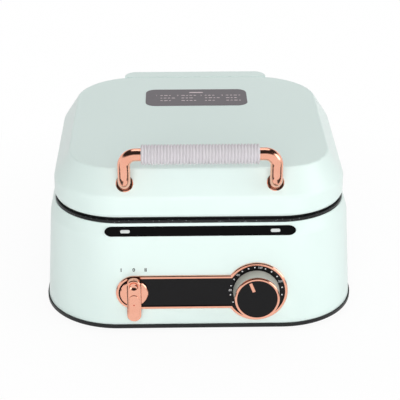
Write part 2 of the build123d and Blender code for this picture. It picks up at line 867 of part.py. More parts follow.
def lid_shell():
    """Moulded lid: wall, broad sloping shoulder and flat top, with screw lugs inside."""
    outer = lid_form(0, lid_lip_inset, lid_z, lid_wall_top, lid_top_z)
    soft = outer.edges().filter_by(lambda e: abs(e.center().Z - lid_wall_top) < 0.1)
    outer = fillet(soft, 11.0)
    crisp = outer.edges().filter_by(lambda e: abs(e.center().Z - lid_top_z) < 0.1)
    outer = fillet(crisp, 3.0)
    cavity = lid_form(wall, lid_lip_inset, lid_z, lid_wall_top - 2 * wall, lid_top_z - wall)
    shell = outer - cavity
    for x, y in lid_lug_places():
        lug = Pos(x, y, lid_z + lug_height / 2) * Cylinder(lug_radius, lug_height)
        shell += lug & cavity
        shell -= Pos(x, y, lid_z) * Cylinder(screw_radius, 2 * screw_length)
    for s in (-1, 1):
        shell -= handle_hole(s)
        slot_low = hinge_z
        slot_high = lid_top_z - arm_crown_down + 2 * fit
        slot = Box(arm_thick + 4 * fit, hump_lap, slot_high - slot_low)
        slot_y = lid_rear - lid_top_inset + 4 * wall + hump_lap / 2 - 12
        shell -= Pos(s * arm_x, slot_y, (slot_low + slot_high) / 2) * slot
        for y in arm_screw_places():
            low = lid_top_z - arm_crown_down
            boss = Cylinder(arm_boss_radius, lid_top_z - wall - low)
            boss = Pos(s * arm_flange_x, y, (low + lid_top_z - wall) / 2) * boss
            shell += boss
            shell -= Pos(s * arm_flange_x, y, low) * Cylinder(screw_radius, 8)
    shell -= extrude(label_outline(0, lid_top_z - label_sink), amount=4)
    return shell


def lid_lug_places():
    """Where the frame's screws go."""
    sides = [(sx * lug_place, y) for sx in (-1, 1) for y in (-60, 40)]
    return sides + [(x, -(lid_front - lug_inset)) for x in (-50, 50)]


def label_outline(inset, z):
    """Outline of the label plate on the lid's top."""
    outline = RectangleRounded(label_width - 2 * inset, label_depth - 2 * inset, label_corner - inset)
    return Pos(0, label_y, z) * outline


def label_plate():
    """Tinted plate let into the lid's top."""
    plate = extrude(label_outline(panel_fit, lid_top_z - label_sink), amount=label_thick)
    return fillet(plate.faces().sort_by(Axis.Z)[-1].edges(), 0.3)


def lid_frame():
    """Black ring that closes the lid round the upper plate."""
    half_x = lid_half_x - lid_lip_inset - frame_inset
    front = lid_front - lid_lip_inset - frame_inset
    rear = lid_rear - lid_lip_inset - frame_inset
    r_front = lid_corner_front - lid_lip_inset - frame_inset
    r_rear = lid_corner_rear - lid_lip_inset - frame_inset
    ring = extrude(plan(half_x, front, rear, r_front, r_rear, frame_z), amount=frame_thick)
    ring = fillet(ring.edges().filter_by(lambda e: abs(e.center().Z - frame_z) < 0.1), 1.0)
    opening = plate_half + plate_side_gap
    window = square_plan(opening, opening, plate_corner + plate_side_gap, frame_z - 1)
    ring -= extrude(window, amount=2 * frame_thick)
    for x, y in lid_lug_places():
        ring -= Pos(x, y, frame_z) * Cylinder(screw_radius + 0.2, 4 * frame_thick)
        ring -= Pos(x, y, frame_z) * Cylinder(screw_head_radius + 0.3, 2 * screw_head_height)
    for x, y in plate_ear_places():
        ring -= Pos(x, y, lid_z) * Cylinder(screw_radius, 6.4)
    return ring


def upper_plate():
    """Cast upper cooking plate: a shallow tray, face down, whose flange rests on the lid's frame."""
    height = lid_z + plate_flange_thick - frame_z
    tray = extrude(square_plan(plate_half, plate_half, plate_corner, frame_z), amount=height)
    tray = fillet(tray.edges().filter_by(lambda e: abs(e.center().Z - frame_z) < 0.1), 2.0)
    flange_half = plate_half + plate_flange
    flange_outline = square_plan(flange_half, flange_half, plate_corner + plate_flange, lid_z)
    flange = extrude(flange_outline, amount=plate_flange_thick)
    for x, y in plate_ear_places():
        flange += Pos(x, y, lid_z + plate_flange_thick / 2) * Cylinder(plate_ear_radius, plate_flange_thick)
    inner = plate_half - plate_wall
    hollow = extrude(square_plan(inner, inner, plate_corner - plate_wall, over_plate), amount=30)
    plate = tray + flange - hollow
    floor = over_plate
    for sx, sy in corners:
        boss_middle = Pos(sx * boss_place, sy * boss_place, floor + shield_gap / 2)
        plate += boss_middle * Cylinder(boss_radius, shield_gap)
        plate -= Pos(sx * boss_place, sy * boss_place, floor + shield_gap) * Cylinder(screw_radius, 14)
    for x, y in plate_ear_places():
        plate -= Pos(x, y, lid_z) * Cylinder(screw_radius, 20)
    return plate


def plate_ear_places():
    """Middles of the upper plate's four ears, which are screwed down on the frame."""
    return [(-plate_ear_place, 0), (plate_ear_place, 0), (0, -plate_ear_place), (0, plate_ear_place)]


def ear_screws():
    """Screws through the upper plate's ears into the lid's frame."""
    return [Pos(x, y, lid_z + plate_flange_thick) * screw(6.0) for x, y in plate_ear_places()]


def arm_screw_places():
    """Where an arm's screws go, front to back."""
    front = hinge_y - arm_reach
    return (front + arm_flange_length / 4, front + 3 * arm_flange_length / 4)


def hinge_arm(s):
    """Pressed steel arm from the hinge pin up and forwards under the lid's top."""
    crown = lid_top_z - arm_crown_down
    side = make_face(
        Plane.YZ
        * Polyline(
            (hinge_y - arm_half, hinge_z),
            (hinge_y + arm_half, hinge_z),
            (hinge_y - 6, crown - 10),
            (hinge_y - 14, crown),
            (hinge_y - arm_reach, crown),
            (hinge_y - arm_reach, crown - 10),
            (hinge_y - arm_half - 16, crown - 12),
            close=True,
        )
    )
    web = Pos(s * arm_x - arm_thick / 2, 0, 0) * extrude(side, amount=arm_thick)
    web += Pos(s * arm_x, hinge_y, hinge_z) * Rot(0, 90, 0) * Cylinder(arm_half, arm_thick)
    middle = hinge_y - arm_reach + arm_flange_length / 2
    plate = Box(arm_flange_width, arm_flange_length, arm_flange_thick)
    arm = web + Pos(s * arm_flange_x, middle, crown - arm_flange_thick / 2) * plate
    for y in arm_screw_places():
        arm -= Pos(s * arm_flange_x, y, crown) * Cylinder(screw_radius + 0.2, 10)
    return arm - Pos(s * arm_x, hinge_y, hinge_z) * Rot(0, 90, 0) * Cylinder(pin_radius + pin_clearance, 40)


def arm_screws():
    """Screws that hold the arms to the lid."""
    seat = lid_top_z - arm_crown_down - arm_flange_thick
    turned_over = Rot(180, 0, 0) * screw(6.0)
    return [Pos(s * arm_flange_x, y, seat) * turned_over for s in (-1, 1) for y in arm_screw_places()]


shoulder_run = lid_top_inset
shoulder_rise = lid_top_z - lid_wall_top
shoulder_length = math.hypot(shoulder_run, shoulder_rise)
root_dir = (0, -shoulder_rise / shoulder_length, shoulder_run / shoulder_length)
leg_root_z = lid_wall_top + (lid_front + leg_root_y) * shoulder_rise / shoulder_run


def root_plane(s):
    """The lid's shoulder where a leg of the handle comes through it."""
    return Plane(origin=(s * leg_x, leg_root_y, leg_root_z), x_dir=(1, 0, 0), z_dir=root_dir)


def handle_hole(s):
    """Hole through the shoulder for one end of the handle."""
    return root_plane(s) * Cylinder(rod_radius + rod_fit, 20)


def handle_rod():
    """Bent rod: out of the shoulder, up, and across the front of the lid."""
    along = (handle_y - leg_root_y) / root_dir[1]
    elbow_z = leg_root_z + along * root_dir[2]
    start_y = leg_root_y - root_dir[1] * root_depth
    start_z = leg_root_z - root_dir[2] * root_depth
    points = [
        (-leg_x, start_y, start_z),
        (-leg_x, handle_y, elbow_z),
        (-leg_x, handle_y, handle_z),
        (leg_x, handle_y, handle_z),
        (leg_x, handle_y, elbow_z),
        (leg_x, start_y, start_z),
    ]
    path = FilletPolyline(*points, radius=[root_bend, rod_bend, rod_bend, root_bend])
    start = Plane(origin=points[0], z_dir=path.tangent_at(0))
    rod = sweep(start * Circle(rod_radius), path=path)
    for s in (-1, 1):
        rod -= root_plane(s) * Pos(0, 0, -root_depth) * Cylinder(screw_radius, 14)
    return rod


def handle_collar(s):
    """Collar that covers the hole in the shoulder."""
    ring = Cylinder(collar_radius, collar_thick) - Cylinder(rod_radius + rod_fit, 4 * collar_thick)
    ring = chamfer(ring.edges().sort_by(Axis.Z)[-1:], 0.8)
    return root_plane(s) * Pos(0, 0, collar_thick / 2) * ring


def handle_washers():
    """Washers inside the lid that the handle's screws pull on."""
    ring = Cylinder(rod_radius + 4, 1.6) - Cylinder(screw_radius + 0.2, 6)
    return [root_plane(s) * Pos(0, 0, -root_depth - 0.8) * ring for s in (-1, 1)]


def handle_screws():
    """Screws up into the handle's ends from inside the lid."""
    return [root_plane(s) * Pos(0, 0, -root_depth - 1.6) * Rot(180, 0, 0) * screw(8.0) for s in (-1, 1)]


def handle_grip():
    """Ribbed sleeve on the bar of the handle."""
    pitch = grip_length / rib_count
    radii = (grip_radius - grip_groove, grip_radius)
    line = [(-grip_length / 2, rod_radius + pin_clearance)]
    for n in range(rib_count):
        left = -grip_length / 2 + n * pitch
        line += [(left, radii[0]), (left + 0.22 * pitch, radii[1]), (left + 0.78 * pitch, radii[1])]
    line += [(grip_length / 2, radii[0]), (grip_length / 2, rod_radius + pin_clearance)]
    profile = make_face(Plane.XY * Polyline(*line, close=True))
    return Pos(0, handle_y, handle_z) * revolve(profile, Axis.X)


def frame_screws():
    """Screws up through the lid's frame into the lugs of the lid."""
    turned_over = Pos(0, 0, frame_z + screw_head_height) * Rot(180, 0, 0) * screw(10.0)
    return [Pos(x, y, 0) * turned_over for x, y in lid_lug_places()]


def cover_screws():
    """Screws up through the bottom cover into the posts of the base."""
    return [
        Pos(sx * post_place, sy * post_place, foot_height + screw_head_height + 0.6) * Rot(180, 0, 0) * screw(10.0)
        for sx, sy in corners
    ]


def tower_screws():
    """Screws through the towers' foot plates into the base."""
    return [
        tower_plane(x) * Pos(u, v, tower_flange_thick) * screw(8.0)
        for x in (-tower_x, tower_x)
        for u, v in tower_screw_places()
    ]


def build():
    """Every sub-part by its node name."""
    parts = {
        "base_shell": base_shell(),
        "bottom_cover": bottom_cover(),
        "lower_pan": lower_pan(),
        "lower_heating_tube": heating_tube(under_pan, -1),
        "lower_heat_shield": heat_shield(under_pan, -1),
        "lower_shield_screws": shield_screws(under_pan, -1),
        "control_bracket": control_bracket(),
        "thermostat": thermostat(),
        "rotary_switch": rotary_switch(),
        "control_panel": control_panel(),
        "panel_bezel": panel_bezel(),
        "indicator_strip": indicator_strip(),
        "power_inlet": power_inlet(),
        "inlet_blades": inlet_blades(),
        "cover_screws": cover_screws(),
        "tower_screws": tower_screws(),
        "hinge_pin": hinge_pin(),
        "pin_clips": pin_clips(),
        "lid_shell": lid_shell(),
        "hinge_housing": hinge_housing(),
        "lid_frame": lid_frame(),
        "upper_plate": upper_plate(),
        "upper_heating_tube": heating_tube(over_plate, 1),
        "upper_heat_shield": heat_shield(over_plate, 1),
        "upper_shield_screws": shield_screws(over_plate, 1),
        "label_plate": label_plate(),
        "handle_rod": handle_rod(),
        "handle_grip": handle_grip(),
        "handle_washers": handle_washers(),
        "handle_screws": handle_screws(),
        "frame_screws": frame_screws(),
        "ear_screws": ear_screws(),
        "arm_screws": arm_screws(),
        "knob_skirt": knob_skirt(),
        "knob_ring": knob_ring(),
        "knob_cap": knob_cap(),
        "knob_pointer": knob_pointer(),
        "thermostat_shaft": control_shaft(knob_x, knob_front - ring_height - 1.5),
        "lever_disc": lever_disc(),
        "selector_lever": selector_lever(),
        "switch_shaft": control_shaft(lever_x, disc_top),
    }
    for name, sx in (("left", -1), ("right", 1)):
        parts[f"indicator_lens_{name}"] = indicator_lens(sx * lens_x)
        parts[f"indicator_lamp_{name}"] = indicator_lamp(sx * lens_x)
        parts[f"hinge_tower_{name}"] = hinge_tower(sx * tower_x)
        parts[f"hinge_bush_{name}"] = hinge_bush(sx * tower_x)
        parts[f"hinge_arm_{name}"] = hinge_arm(sx)
        parts[f"handle_collar_{name}"] = handle_collar(sx)
        for end, sy in (("front", -1), ("rear", 1)):
            parts[f"foot_{end}_{name}"] = Pos(sx * foot_place, sy * foot_place, 0) * foot()
    return {name: Compound(p) if isinstance(p, list) else p for name, p in parts.items()}


parts = build()
reach = [shape.bounding_box() for shape in parts.values()]
row_shift = -(min(b.min.Y for b in reach) + max(b.max.Y for b in reach)) / 2
os.makedirs("parts", exist_ok=True)
for name, shape in parts.items():
    export_step(Pos(0, row_shift, 0) * shape, f"parts/{name}.step")
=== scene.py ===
import json
import math

import bmesh
import bpy
from mathutils import Matrix, Vector


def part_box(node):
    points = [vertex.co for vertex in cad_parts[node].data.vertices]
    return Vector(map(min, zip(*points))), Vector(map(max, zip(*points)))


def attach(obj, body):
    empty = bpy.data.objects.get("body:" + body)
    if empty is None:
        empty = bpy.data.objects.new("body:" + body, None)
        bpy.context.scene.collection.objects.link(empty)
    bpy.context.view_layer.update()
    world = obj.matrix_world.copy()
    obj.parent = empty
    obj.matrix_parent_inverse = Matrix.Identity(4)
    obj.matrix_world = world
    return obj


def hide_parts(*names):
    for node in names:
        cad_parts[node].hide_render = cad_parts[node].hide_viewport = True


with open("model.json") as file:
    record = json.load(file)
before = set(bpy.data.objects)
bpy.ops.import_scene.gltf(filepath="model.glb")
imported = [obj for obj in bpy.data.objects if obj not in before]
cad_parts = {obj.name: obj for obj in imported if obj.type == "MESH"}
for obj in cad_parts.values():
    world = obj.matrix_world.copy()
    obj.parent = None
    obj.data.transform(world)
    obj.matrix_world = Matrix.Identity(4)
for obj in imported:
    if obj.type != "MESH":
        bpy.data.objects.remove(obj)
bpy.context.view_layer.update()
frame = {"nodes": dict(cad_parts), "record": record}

# View
# The appliance is seen from a metre and a half in front, through a long lens that stands a little to the
# left and looks 25 degrees down on the lid.
camera_place = (-0.0282, -1.49942, 0.7853)
tilt_down, turn_right = 25.148, 1.195
lens_length = 122.05
sight_end = 60
camera = bpy.data.objects.new("camera", bpy.data.cameras.new("camera"))
bpy.context.scene.collection.objects.link(camera)
camera.location = camera_place
camera.rotation_euler = (math.radians(90 - tilt_down), 0, math.radians(-turn_right))
camera.data.lens = lens_length
camera.data.clip_end = sight_end
bpy.context.scene.camera = camera
bpy.context.scene.view_settings.view_transform = "Standard"

# Paper sweep
# The appliance stands on a wide sheet of matt white background paper, laid flat under its feet. It shows
# white to the lens and in reflections, and it still takes the appliance's shadow.
mm = 0.001
paper_reach = 9
paper_drop = 0.2 * mm
cloud_size = 450 * mm
shade_near, shade_end, shade_glow = 220 * mm, 500 * mm, 0.93


def paint(hex_text):
    """An sRGB hex colour as the linear values that a shader socket takes."""
    channels = [int(hex_text[i : i + 2], 16) / 255 for i in (0, 2, 4)]
    return [c / 12.92 if c <= 0.04045 else ((c + 0.055) / 1.055) ** 2.4 for c in channels] + [1.0]


def add(tree, kind, settings=None, links=None):
    """Adds one node, sets its sockets or properties, and links sockets of earlier nodes into it."""
    node = tree.nodes.new(kind)
    for key, value in (settings or {}).items():
        if isinstance(key, int) or key in node.inputs:
            node.inputs[key].default_value = value
        else:
            setattr(node, key, value)
    for key, source in (links or {}).items():
        tree.links.new(source, node.inputs[key])
    return node


def finish_named(name):
    """A new material with an empty node tree, and that tree."""
    material = bpy.data.materials.new(name)
    material.use_nodes = True
    material.node_tree.nodes.clear()
    return material, material.node_tree


def set_down(name, mesh, material):
    """A new piece of one material, put into the scene."""
    mesh.materials.append(material)
    piece = bpy.data.objects.new(name, mesh)
    bpy.context.scene.collection.objects.link(piece)
    return piece


paper, tree = finish_named("white_paper_sweep")
ray = add(tree, "ShaderNodeLightPath")
plain = add(
    tree,
    "ShaderNodeMath",
    {"operation": "MAXIMUM"},
    {0: ray.outputs["Is Camera Ray"], 1: ray.outputs["Is Transmission Ray"]},
)
seen = add(
    tree,
    "ShaderNodeMath",
    {"operation": "MAXIMUM"},
    {0: plain.outputs[0], 1: ray.outputs["Is Glossy Ray"]},
)
fibre = add(tree, "ShaderNodeTexNoise", {"Scale": 2 * paper_reach / cloud_size, "Detail": 4})
tone = add(tree, "ShaderNodeMapRange", {"To Min": 0.996, "To Max": 1.0}, {"Value": fibre.outputs["Fac"]})
matt = add(tree, "ShaderNodeBsdfDiffuse", {"Color": paint("FBFBFB")})
where = add(tree, "ShaderNodeTexCoord").outputs["Object"]
# Two black cards lie on the paper, left and right in front. They draw the rod's edges, and only
# reflections see them.
card_side, card_ahead, card_half, card_blur = 125 * mm, 280 * mm, 80 * mm, 15 * mm
card_tone = 0.04
axes = add(tree, "ShaderNodeSeparateXYZ", {}, {0: where})
aside = add(tree, "ShaderNodeMath", {"operation": "ABSOLUTE"}, {0: axes.outputs["X"]})
outward = add(
    tree,
    "ShaderNodeMapRange",
    {"From Min": card_side, "From Max": card_side + card_blur},
    {"Value": aside.outputs[0]},
)
ahead = add(tree, "ShaderNodeMath", {"operation": "ADD", 1: card_ahead}, {0: axes.outputs["Y"]})
off_card = add(tree, "ShaderNodeMath", {"operation": "ABSOLUTE"}, {0: ahead.outputs[0]})
lengthways = add(
    tree,
    "ShaderNodeMapRange",
    {"From Min": card_half, "From Max": card_half + card_blur, "To Min": 1.0, "To Max": 0.0},
    {"Value": off_card.outputs[0]},
)
card = add(
    tree,
    "ShaderNodeMath",
    {"operation": "MULTIPLY"},
    {0: outward.outputs["Result"], 1: lengthways.outputs["Result"]},
)
black = add(
    tree,
    "ShaderNodeMath",
    {"operation": "MULTIPLY"},
    {0: ray.outputs["Is Glossy Ray"], 1: card.outputs[0]},
)
left_over = add(
    tree,
    "ShaderNodeMapRange",
    {"To Min": 1.0, "To Max": card_tone},
    {"Value": black.outputs[0]},
)
glow = add(
    tree,
    "ShaderNodeMath",
    {"operation": "MULTIPLY"},
    {0: tone.outputs["Result"], 1: left_over.outputs["Result"]},
)
lit = add(tree, "ShaderNodeEmission", {"Color": paint("FFFFFF")}, {"Strength": glow.outputs[0]})
# Near the appliance the paper's own shade shows through a little, and further out it is wholly white.
away = add(tree, "ShaderNodeVectorMath", {"operation": "LENGTH"}, {0: where})
share = add(
    tree,
    "ShaderNodeMapRange",
    {"From Min": shade_near, "From Max": shade_end, "To Min": shade_glow, "To Max": 1.0},
    {"Value": away.outputs["Value"]},
)
part_lit = add(
    tree,
    "ShaderNodeMath",
    {"operation": "MULTIPLY"},
    {0: seen.outputs[0], 1: share.outputs["Result"]},
)
mixed = add(
    tree,
    "ShaderNodeMixShader",
    {},
    {0: part_lit.outputs[0], 1: matt.outputs[0], 2: lit.outputs[0]},
)
add(tree, "ShaderNodeOutputMaterial", {}, {"Surface": mixed.outputs[0]})
sheet = bmesh.new()
bmesh.ops.create_grid(sheet, x_segments=8, y_segments=8, size=paper_reach)
sheet_mesh = bpy.data.meshes.new("paper_sweep")
sheet.to_mesh(sheet_mesh)
floor = set_down("paper_sweep", sheet_mesh, paper)
floor.location.z = -paper_drop

# Soft boxes
# Three fabric-fronted lamps on stands: a broad one in front and above, a weaker one on the right, and one
# over the lid from behind. The front one is kept out of reflections, so it puts no bright square on them.
for name, place, aim, width, watts, in_gloss in (
    ("front_box", (-0.1, -2.4, 0.95), (0, 0, 0.1), 1.6, 32, False),
    ("right_box", (2.2, -0.8, 1.0), (0, 0, 0.1), 1.4, 14, True),
    ("top_box", (0.1, 0.9, 2.3), (0, 0, 0.15), 1.8, 16, True),
):
    lamp = bpy.data.lights.new(name, "AREA")
    lamp.size = width
    lamp.energy = watts
    holder = bpy.data.objects.new(name, lamp)
    holder.location = place
    holder.rotation_euler = (Vector(aim) - Vector(place)).to_track_quat("-Z", "Y").to_euler()
    holder.visible_glossy = in_gloss
    bpy.context.scene.collection.objects.link(holder)

# White room
# Painted white walls under an unlit ceiling. The walls are white to the lens, metal and gloss mirror
# walls and ceiling, and everything else gets a dim, even light from all round.
room_light = 0.38
# The ceiling sets in at the first height and is fully dark from the second: 0 is level and 1 is overhead.
ceiling_edge, ceiling_full, ceiling_tone = 0.32, 0.5, 0.03
room = bpy.data.worlds.new("white_room")
bpy.context.scene.world = room
room.use_nodes = True
tree = room.node_tree
tree.nodes.clear()
ray = add(tree, "ShaderNodeLightPath")
facing = add(tree, "ShaderNodeTexCoord")
height = add(tree, "ShaderNodeSeparateXYZ", {}, {0: facing.outputs["Generated"]})
ceiling = add(
    tree,
    "ShaderNodeMapRange",
    {"From Min": ceiling_edge, "From Max": ceiling_full, "To Min": 1.0, "To Max": ceiling_tone},
    {"Value": height.outputs["Z"]},
)
mirrored = add(
    tree,
    "ShaderNodeMath",
    {"operation": "MULTIPLY"},
    {0: ray.outputs["Is Glossy Ray"], 1: ceiling.outputs["Result"]},
)
direct = add(
    tree,
    "ShaderNodeMath",
    {"operation": "MAXIMUM"},
    {0: ray.outputs["Is Camera Ray"], 1: ray.outputs["Is Transmission Ray"]},
)
clear = add(
    tree,
    "ShaderNodeMath",
    {"operation": "MAXIMUM"},
    {0: direct.outputs[0], 1: ray.outputs["Is Glossy Ray"]},
)
bright = add(
    tree,
    "ShaderNodeMath",
    {"operation": "MAXIMUM"},
    {0: direct.outputs[0], 1: mirrored.outputs[0]},
)
dim = add(tree, "ShaderNodeBackground", {"Color": paint("FFFFFF"), "Strength": room_light})
white = add(tree, "ShaderNodeBackground", {"Color": paint("FFFFFF")}, {"Strength": bright.outputs[0]})
mixed = add(tree, "ShaderNodeMixShader", {}, {0: clear.outputs[0], 1: dim.outputs[0], 2: white.outputs[0]})
add(tree, "ShaderNodeOutputWorld", {}, {"Surface": mixed.outputs[0]})

# Bottom cover
# The black tray that closes the base is injection-moulded ABS, screwed up into the housing's posts. The
# ring that closes the lid, the mains inlet and the switch's body are moulded in the same plastic.
nodes = frame["nodes"]
# A Mix node keeps its two colours, and the colour that it gives out, at these places.
colour_a, colour_b, colour_out = 6, 7, 2


def dress(material, *names):
    """Gives CAD nodes their real finish."""
    for name in names:
        for place in nodes[name].material_slots:
            place.link = "OBJECT"
            place.material = material


grain_size, cloud_size, relief = 1.5 * mm, 40 * mm, 0.2 * mm
# Spark-eroded moulds leave a grain that makes a soft, broken highlight. The real grain is 0.4 mm, and it
# is drawn at 1.5 mm so that it shows.
black_abs, tree = finish_named("moulded_black_abs")
where = add(tree, "ShaderNodeTexCoord").outputs["Object"]
grain = add(
    tree,
    "ShaderNodeTexNoise",
    {"Scale": 1 / grain_size, "Detail": 3, "Roughness": 0.6},
    {"Vector": where},
)
cloud = add(tree, "ShaderNodeTexNoise", {"Scale": 1 / cloud_size, "Detail": 2}, {"Vector": where})
tint = add(
    tree,
    "ShaderNodeMix",
    {"data_type": "RGBA", colour_a: paint("0D0E0F"), colour_b: paint("151718")},
    {0: cloud.outputs["Fac"]},
)
rough = add(tree, "ShaderNodeMapRange", {"To Min": 0.36, "To Max": 0.5}, {"Value": grain.outputs["Fac"]})
bump = add(tree, "ShaderNodeBump", {"Strength": 0.25, "Distance": relief}, {"Height": grain.outputs["Fac"]})
shader = add(
    tree,
    "ShaderNodeBsdfPrincipled",
    {"IOR": 1.54, "Specular IOR Level": 0.3},
    {
        "Base Color": tint.outputs[colour_out],
        "Roughness": rough.outputs["Result"],
        "Normal": bump.outputs[0],
    },
)
add(tree, "ShaderNodeOutputMaterial", {}, {"Surface": shader.outputs[0]})
dress(black_abs, "bottom_cover", "lid_frame", "power_inlet", "rotary_switch")

# Rubber feet
# Four feet of moulded nitrile rubber under the corners of the base. Each has a barbed stud that snaps
# into the bottom cover.
blotch_size, relief = 3 * mm, 0.3 * mm
# The rubber is dull and slightly dusty, in blotches 3 mm across, so it gives back hardly any highlight.
rubber, tree = finish_named("moulded_nitrile_rubber")
where = add(tree, "ShaderNodeTexCoord").outputs["Object"]
dust = add(tree, "ShaderNodeTexNoise", {"Scale": 1 / blotch_size, "Detail": 5}, {"Vector": where})
tint = add(
    tree,
    "ShaderNodeMix",
    {"data_type": "RGBA", colour_a: paint("161616"), colour_b: paint("2C2B2A")},
    {0: dust.outputs["Fac"]},
)
bump = add(tree, "ShaderNodeBump", {"Strength": 0.3, "Distance": relief}, {"Height": dust.outputs["Fac"]})
shader = add(
    tree,
    "ShaderNodeBsdfPrincipled",
    {"Roughness": 0.82, "IOR": 1.52},
    {"Base Color": tint.outputs[colour_out], "Normal": bump.outputs[0]},
)
add(tree, "ShaderNodeOutputMaterial", {}, {"Surface": shader.outputs[0]})
dress(rubber, "foot_front_left", "foot_front_right", "foot_rear_left", "foot_rear_right")

# Housing and lid
# The base, the lid and the cover over the hinge are thin ABS mouldings, sprayed with a pale mint-white
# satin lacquer. The base is screwed to its bottom cover, and the hinge's cover lies against the lid's back.
peel_size, drift_size, relief = 5 * mm, 120 * mm, 0.4 * mm
# The lacquer's orange peel, about 5 mm from crest to crest, waves the soft highlights slightly.
lacquer, tree = finish_named("mint_white_lacquered_abs")
where = add(tree, "ShaderNodeTexCoord").outputs["Object"]
peel = add(
    tree,
    "ShaderNodeTexNoise",
    {"Scale": 1 / peel_size, "Detail": 2, "Roughness": 0.45},
    {"Vector": where},
)
drift = add(tree, "ShaderNodeTexNoise", {"Scale": 1 / drift_size, "Detail": 2}, {"Vector": where})
tint = add(
    tree,
    "ShaderNodeMix",
    {"data_type": "RGBA", colour_a: paint("E0F1EC"), colour_b: paint("E5F5F1")},
    {0: drift.outputs["Fac"]},
)
rough = add(tree, "ShaderNodeMapRange", {"To Min": 0.3, "To Max": 0.38}, {"Value": drift.outputs["Fac"]})
bump = add(tree, "ShaderNodeBump", {"Strength": 0.06, "Distance": relief}, {"Height": peel.outputs["Fac"]})
shader = add(
    tree,
    "ShaderNodeBsdfPrincipled",
    {"IOR": 1.5, "Coat Weight": 0.15, "Coat Roughness": 0.2},
    {
        "Base Color": tint.outputs[colour_out],
        "Roughness": rough.outputs["Result"],
        "Normal": bump.outputs[0],
    },
)
add(tree, "ShaderNodeOutputMaterial", {}, {"Surface": shader.outputs[0]})
dress(lacquer, "base_shell", "lid_shell", "hinge_housing")

# Pan and upper plate
# Both are pressure-cast aluminium with a sprayed and baked fluoropolymer coating. The pan hangs by its
# rim on the ledge of the base, and the upper plate is screwed by its ears to the lid's ring.
fleck_gap, casting_grain, relief = 3.5 * mm, 4 * mm, 0.3 * mm
# The coating is near black and slippery. Its mineral flecks lie under 1 mm apart, and they are drawn
# 3.5 mm apart so that they show.
coating, tree = finish_named("flecked_nonstick_cast_aluminium")
where = add(tree, "ShaderNodeTexCoord").outputs["Object"]
cells = add(tree, "ShaderNodeTexVoronoi", {"Scale": 1 / fleck_gap}, {"Vector": where})
fleck = add(
    tree,
    "ShaderNodeMapRange",
    {"From Min": 0.12, "From Max": 0.22, "To Min": 0.75, "To Max": 0.0},
    {"Value": cells.outputs["Distance"]},
)
cast = add(tree, "ShaderNodeTexNoise", {"Scale": 1 / casting_grain, "Detail": 3}, {"Vector": where})
tint = add(
    tree,
    "ShaderNodeMix",
    {"data_type": "RGBA", colour_a: paint("1F2021"), colour_b: paint("85888A")},
    {0: fleck.outputs["Result"]},
)
bump = add(tree, "ShaderNodeBump", {"Strength": 0.18, "Distance": relief}, {"Height": cast.outputs["Fac"]})
shader = add(
    tree,
    "ShaderNodeBsdfPrincipled",
    {"Roughness": 0.38, "IOR": 1.38},
    {"Base Color": tint.outputs[colour_out], "Normal": bump.outputs[0]},
)
add(tree, "ShaderNodeOutputMaterial", {}, {"Surface": shader.outputs[0]})
dress(coating, "lower_pan", "upper_plate")

# Heating tubes
# Stainless sheaths round a powder-packed heating wire, each bent to a loop. One lies against the
# underside of the pan and the other against the back of the upper plate.
patch_size = 30 * mm
# Heat has coloured them in patches about 30 mm long, straw brown and blue.
sheath, tree = finish_named("heat_tinted_stainless_sheath")
where = add(tree, "ShaderNodeTexCoord").outputs["Object"]
heat = add(tree, "ShaderNodeTexNoise", {"Scale": 1 / patch_size, "Detail": 2}, {"Vector": where})
ramp = add(tree, "ShaderNodeValToRGB", {}, {"Fac": heat.outputs["Fac"]})
ramp.color_ramp.elements[0].color = paint("5B4A3C")
ramp.color_ramp.elements[1].color = paint("4C5361")
shader = add(
    tree,
    "ShaderNodeBsdfPrincipled",
    {"Metallic": 1.0, "Roughness": 0.42},
    {"Base Color": ramp.outputs["Color"]},
)
add(tree, "ShaderNodeOutputMaterial", {}, {"Surface": shader.outputs[0]})
dress(sheath, "lower_heating_tube", "upper_heating_tube")

# Heat shields
# Trays of thin aluminised sheet, pressed and screwed to bosses of the pan and of the upper plate. They
# throw the tubes' heat back.
line_gap, line_run, relief = 0.8 * mm, 80 * mm, 0.1 * mm
# Rolling leaves fine lines along one way, which draw reflections out. They are drawn 0.8 mm apart so
# that they show.
rolled, tree = finish_named("rolled_aluminised_sheet")
where = add(tree, "ShaderNodeTexCoord").outputs["Object"]
stretch = (1 / line_gap, 1 / line_run, 1 / line_gap)
along = add(tree, "ShaderNodeMapping", {"Scale": stretch}, {"Vector": where})
lines = add(tree, "ShaderNodeTexNoise", {"Scale": 1, "Detail": 2}, {"Vector": along.outputs["Vector"]})
rough = add(tree, "ShaderNodeMapRange", {"To Min": 0.25, "To Max": 0.42}, {"Value": lines.outputs["Fac"]})
bump = add(tree, "ShaderNodeBump", {"Strength": 0.15, "Distance": relief}, {"Height": lines.outputs["Fac"]})
shader = add(
    tree,
    "ShaderNodeBsdfPrincipled",
    {"Base Color": paint("CFD0D2"), "Metallic": 1.0},
    {"Roughness": rough.outputs["Result"], "Normal": bump.outputs[0]},
)
add(tree, "ShaderNodeOutputMaterial", {}, {"Surface": shader.outputs[0]})
dress(rolled, "lower_heat_shield", "upper_heat_shield")

# Fasteners, hinge steel and working parts
# Screws, washers, the hinge's pin, clips and arms, the control bracket, the spindles and the thermostat's
# case are steel: headed, turned or pressed, then plated with bright zinc.
spangle_size = 3 * mm
